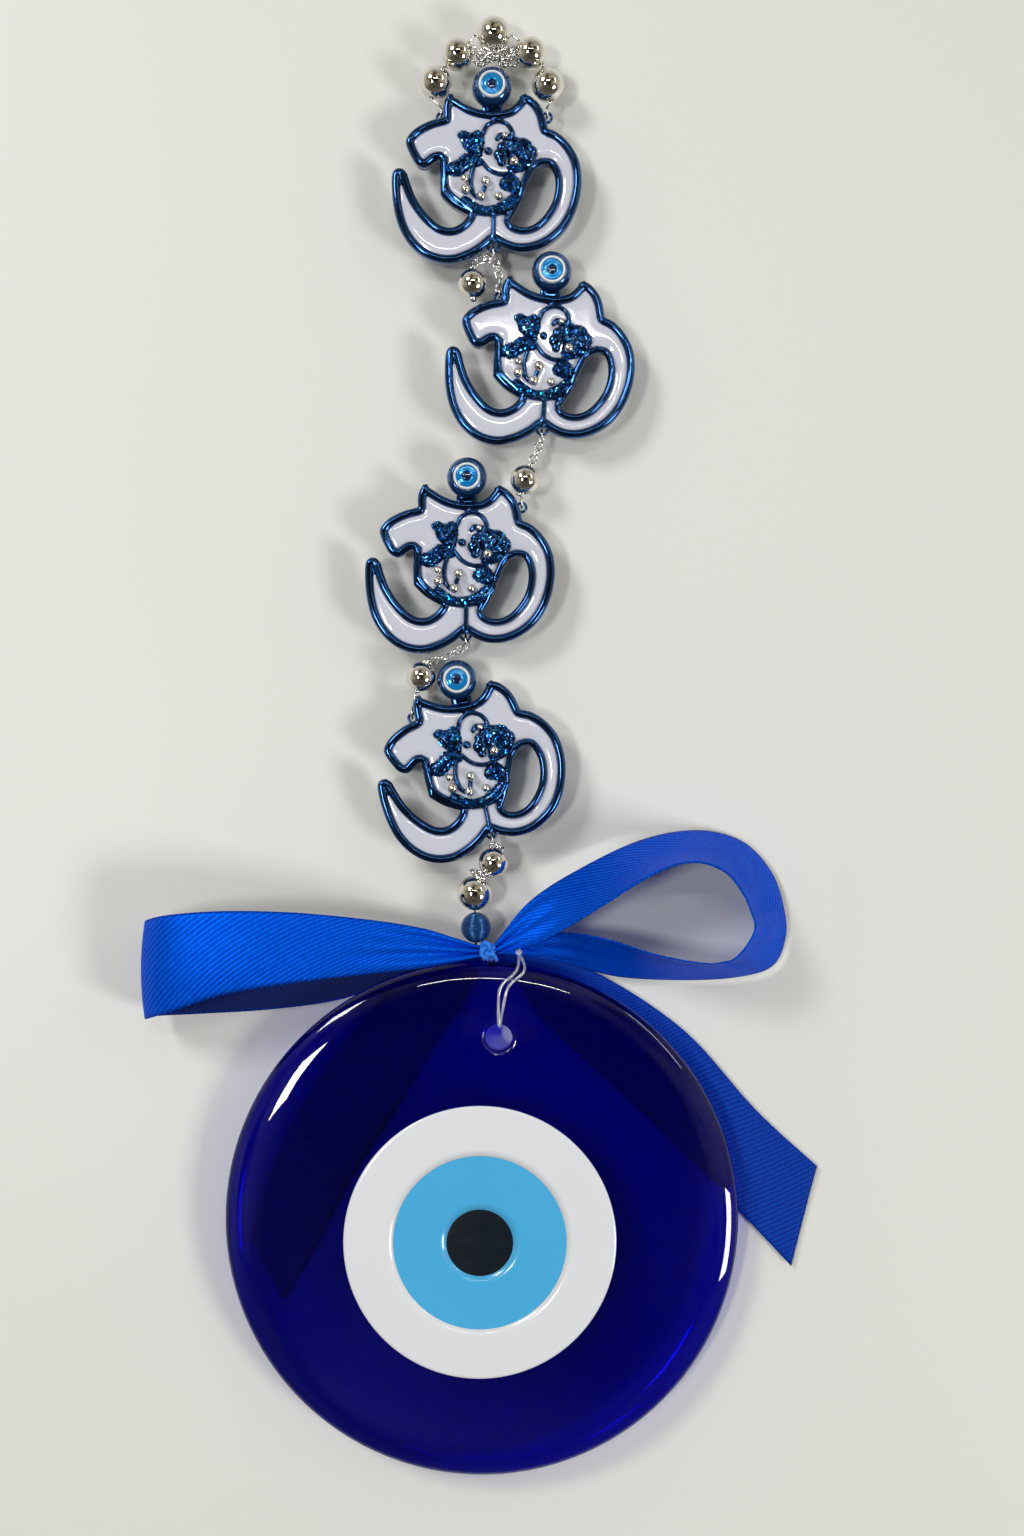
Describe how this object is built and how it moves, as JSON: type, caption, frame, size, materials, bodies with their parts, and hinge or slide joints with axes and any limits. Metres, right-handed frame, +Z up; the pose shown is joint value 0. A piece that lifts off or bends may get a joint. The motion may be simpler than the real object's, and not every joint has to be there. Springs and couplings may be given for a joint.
{
  "type": "evil eye ornament",
  "caption": "Hanging ornament: beaded loop, enamelled Om charms with eye beads, satin bow and a round blue glass eye disc.",
  "frame": {"origin": "under the top ball of the hanging loop, where the nail or hook carries it", "axes": "+Z up along the ornament, +X to the right seen from the front, the front faces -Y"},
  "size_m": [0.1593, 0.0219, 0.3439],
  "materials": {
    "silver": "mirror-bright silver plating",
    "casting": "cast metal under a dark blue electroplated lacquer",
    "enamel": "poured white epoxy enamel, glossy",
    "glitter": "blue glitter set in clear lacquer",
    "bead_glass": "dark blue glass bead, glossy",
    "bead_white": "white glass ring, glossy",
    "bead_light_blue": "light blue glass ring, glossy",
    "bead_pupil": "near-black glass pupil, glossy",
    "string": "fine bright metal chain and pins",
    "seed_beads": "bright metal seed beads and small links",
    "blue_bead": "thread-wound dark blue bead",
    "cord": "bright blue waxed cord",
    "satin": "royal blue satin ribbon with a twill sheen",
    "cobalt_glass": "cobalt blue pressed glass, fire polished",
    "opal_white": "opaque white fused glass, glossy",
    "sky_blue": "opaque light blue fused glass, glossy",
    "black_glass": "opaque black fused glass, glossy",
    "nylon": "clear nylon monofilament"
  },
  "bodies": {
    "hanging_loop": {"loop_string": "string", "loop_seed_beads": "seed_beads"},
    "charm_1": {"charm_1_frame": "casting", "charm_1_enamel": "enamel", "charm_1_glitter": "glitter", "charm_1_studs": "silver", "charm_1_eye_bead": "bead_glass", "charm_1_eye_white": "bead_white", "charm_1_eye_iris": "bead_light_blue", "charm_1_eye_pupil": "bead_pupil"},
    "charm_2": {"charm_2_frame": "casting", "charm_2_enamel": "enamel", "charm_2_glitter": "glitter", "charm_2_studs": "silver", "charm_2_eye_bead": "bead_glass", "charm_2_eye_white": "bead_white", "charm_2_eye_iris": "bead_light_blue", "charm_2_eye_pupil": "bead_pupil"},
    "charm_3": {"charm_3_frame": "casting", "charm_3_enamel": "enamel", "charm_3_glitter": "glitter", "charm_3_studs": "silver", "charm_3_eye_bead": "bead_glass", "charm_3_eye_white": "bead_white", "charm_3_eye_iris": "bead_light_blue", "charm_3_eye_pupil": "bead_pupil"},
    "charm_4": {"charm_4_frame": "casting", "charm_4_enamel": "enamel", "charm_4_glitter": "glitter", "charm_4_studs": "silver", "charm_4_eye_bead": "bead_glass", "charm_4_eye_white": "bead_white", "charm_4_eye_iris": "bead_light_blue", "charm_4_eye_pupil": "bead_pupil"},
    "link_1": {"link_1_strand": "string"},
    "link_2": {"link_2_strand": "string"},
    "link_3": {"link_3_strand": "string"},
    "drop": {"drop_string": "string", "drop_seed_beads": "seed_beads"},
    "bow": {"cord_knot": "cord", "bow_left_loop": "satin", "bow_right_loop": "satin", "bow_left_tail": "satin", "bow_right_tail": "satin"},
    "thread": {"disc_thread": "nylon"},
    "disc": {"disc_glass": "cobalt_glass", "disc_white": "opal_white", "disc_iris": "sky_blue", "disc_pupil": "black_glass"},
    "loop_ball_1": {"loop_ball_1": "silver"},
    "loop_ball_2": {"loop_ball_2": "silver"},
    "loop_ball_3": {"loop_ball_3": "silver"},
    "loop_ball_4": {"loop_ball_4": "silver"},
    "loop_ball_5": {"loop_ball_5": "silver"},
    "link_ball_1": {"link_1_ball": "silver"},
    "link_ball_2": {"link_2_ball": "silver"},
    "link_ball_3": {"link_3_ball": "silver"},
    "drop_ball_1": {"drop_ball_1": "silver"},
    "drop_ball_2": {"drop_ball_2": "silver"},
    "drop_blue_bead": {"drop_blue_bead": "blue_bead"}
  },
  "joints": [
    {"name": "charm_1_fold", "type": "hinge", "parent": "hanging_loop", "child": "charm_1", "pos_m": [0.0003, 0.0012, -0.014], "axis": [1, 0, 0], "range_deg": [-30, 30]},
    {"name": "link_1_fold", "type": "hinge", "parent": "charm_1", "child": "link_1", "pos_m": [0.0001, 0.0012, -0.0468], "axis": [1, 0, 0], "range_deg": [-20, 20]},
    {"name": "charm_2_fold", "type": "hinge", "parent": "link_1", "child": "charm_2", "pos_m": [0.00155, 0.0012, -0.05665], "axis": [1, 0, 0], "range_deg": [-25, 25]},
    {"name": "link_2_fold", "type": "hinge", "parent": "charm_2", "child": "link_2", "pos_m": [0.01153, 0.0012, -0.09023], "axis": [1, 0, 0], "range_deg": [-20, 20]},
    {"name": "charm_3_fold", "type": "hinge", "parent": "link_2", "child": "charm_3", "pos_m": [0.0068, 0.0012, -0.10623], "axis": [1, 0, 0], "range_deg": [-25, 25]},
    {"name": "link_3_fold", "type": "hinge", "parent": "charm_3", "child": "link_3", "pos_m": [-0.00647, 0.0012, -0.1388], "axis": [1, 0, 0], "range_deg": [-20, 20]},
    {"name": "charm_4_fold", "type": "hinge", "parent": "link_3", "child": "charm_4", "pos_m": [-0.01909, 0.0012, -0.15607], "axis": [1, 0, 0], "range_deg": [-25, 25]},
    {"name": "drop_fold", "type": "hinge", "parent": "charm_4", "child": "drop", "pos_m": [-0.00024, 0.0012, -0.1856], "axis": [1, 0, 0], "range_deg": [-20, 20]},
    {"name": "bow_turn", "type": "hinge", "parent": "drop", "child": "bow", "pos_m": [-0.004, 0, -0.2122], "axis": [0, 0, 1], "range_deg": [-30, 30]},
    {"name": "disc_fold", "type": "hinge", "parent": "bow", "child": "thread", "pos_m": [0.0061, 0, -0.2124], "axis": [1, 0, 0], "range_deg": [-12, 1.5]},
    {"name": "disc_swing", "type": "hinge", "parent": "thread", "child": "disc", "pos_m": [0.00157, 0, -0.22963], "axis": [0, 1, 0], "range_deg": [-10, 1.5]},
    {"name": "turn_loop_ball_1", "type": "hinge", "parent": "hanging_loop", "child": "loop_ball_1", "pos_m": [-0.0135, 0, -0.0073], "axis": [0.2588, 0, 0.9659], "continuous": true},
    {"name": "turn_loop_ball_2", "type": "hinge", "parent": "hanging_loop", "child": "loop_ball_2", "pos_m": [-0.0083, 0, -0.0006], "axis": [0.6428, 0, 0.766], "continuous": true},
    {"name": "turn_loop_ball_3", "type": "hinge", "parent": "hanging_loop", "child": "loop_ball_3", "pos_m": [0.0002, 0, 0.0041], "axis": [1, 0, 0], "continuous": true},
    {"name": "turn_loop_ball_4", "type": "hinge", "parent": "hanging_loop", "child": "loop_ball_4", "pos_m": [0.0089, 0, -0.0004], "axis": [0.6691, 0, -0.7431], "continuous": true},
    {"name": "turn_loop_ball_5", "type": "hinge", "parent": "hanging_loop", "child": "loop_ball_5", "pos_m": [0.013, 0, -0.0079], "axis": [0.1736, 0, -0.9848], "continuous": true},
    {"name": "turn_link_ball_1", "type": "hinge", "parent": "link_1", "child": "link_ball_1", "pos_m": [-0.0048, 0, -0.0548], "axis": [0, 0, -1], "continuous": true},
    {"name": "turn_link_ball_2", "type": "hinge", "parent": "link_2", "child": "link_ball_2", "pos_m": [0.0076, 0, -0.101], "axis": [-0.3714, 0, -0.9285], "continuous": true},
    {"name": "turn_link_ball_3", "type": "hinge", "parent": "link_3", "child": "link_ball_3", "pos_m": [-0.0169, 0, -0.1475], "axis": [-0.3162, 0, -0.9487], "continuous": true},
    {"name": "turn_drop_ball_1", "type": "hinge", "parent": "drop", "child": "drop_ball_1", "pos_m": [0.0001, 0, -0.1912], "axis": [-0.4472, 0, -0.8944], "continuous": true},
    {"name": "turn_drop_ball_2", "type": "hinge", "parent": "drop", "child": "drop_ball_2", "pos_m": [-0.0043, 0, -0.1985], "axis": [0, 0, -1], "continuous": true},
    {"name": "turn_drop_blue_bead", "type": "hinge", "parent": "drop", "child": "drop_blue_bead", "pos_m": [-0.004, 0, -0.2066], "axis": [0, 0, 1], "continuous": true}
  ]
}
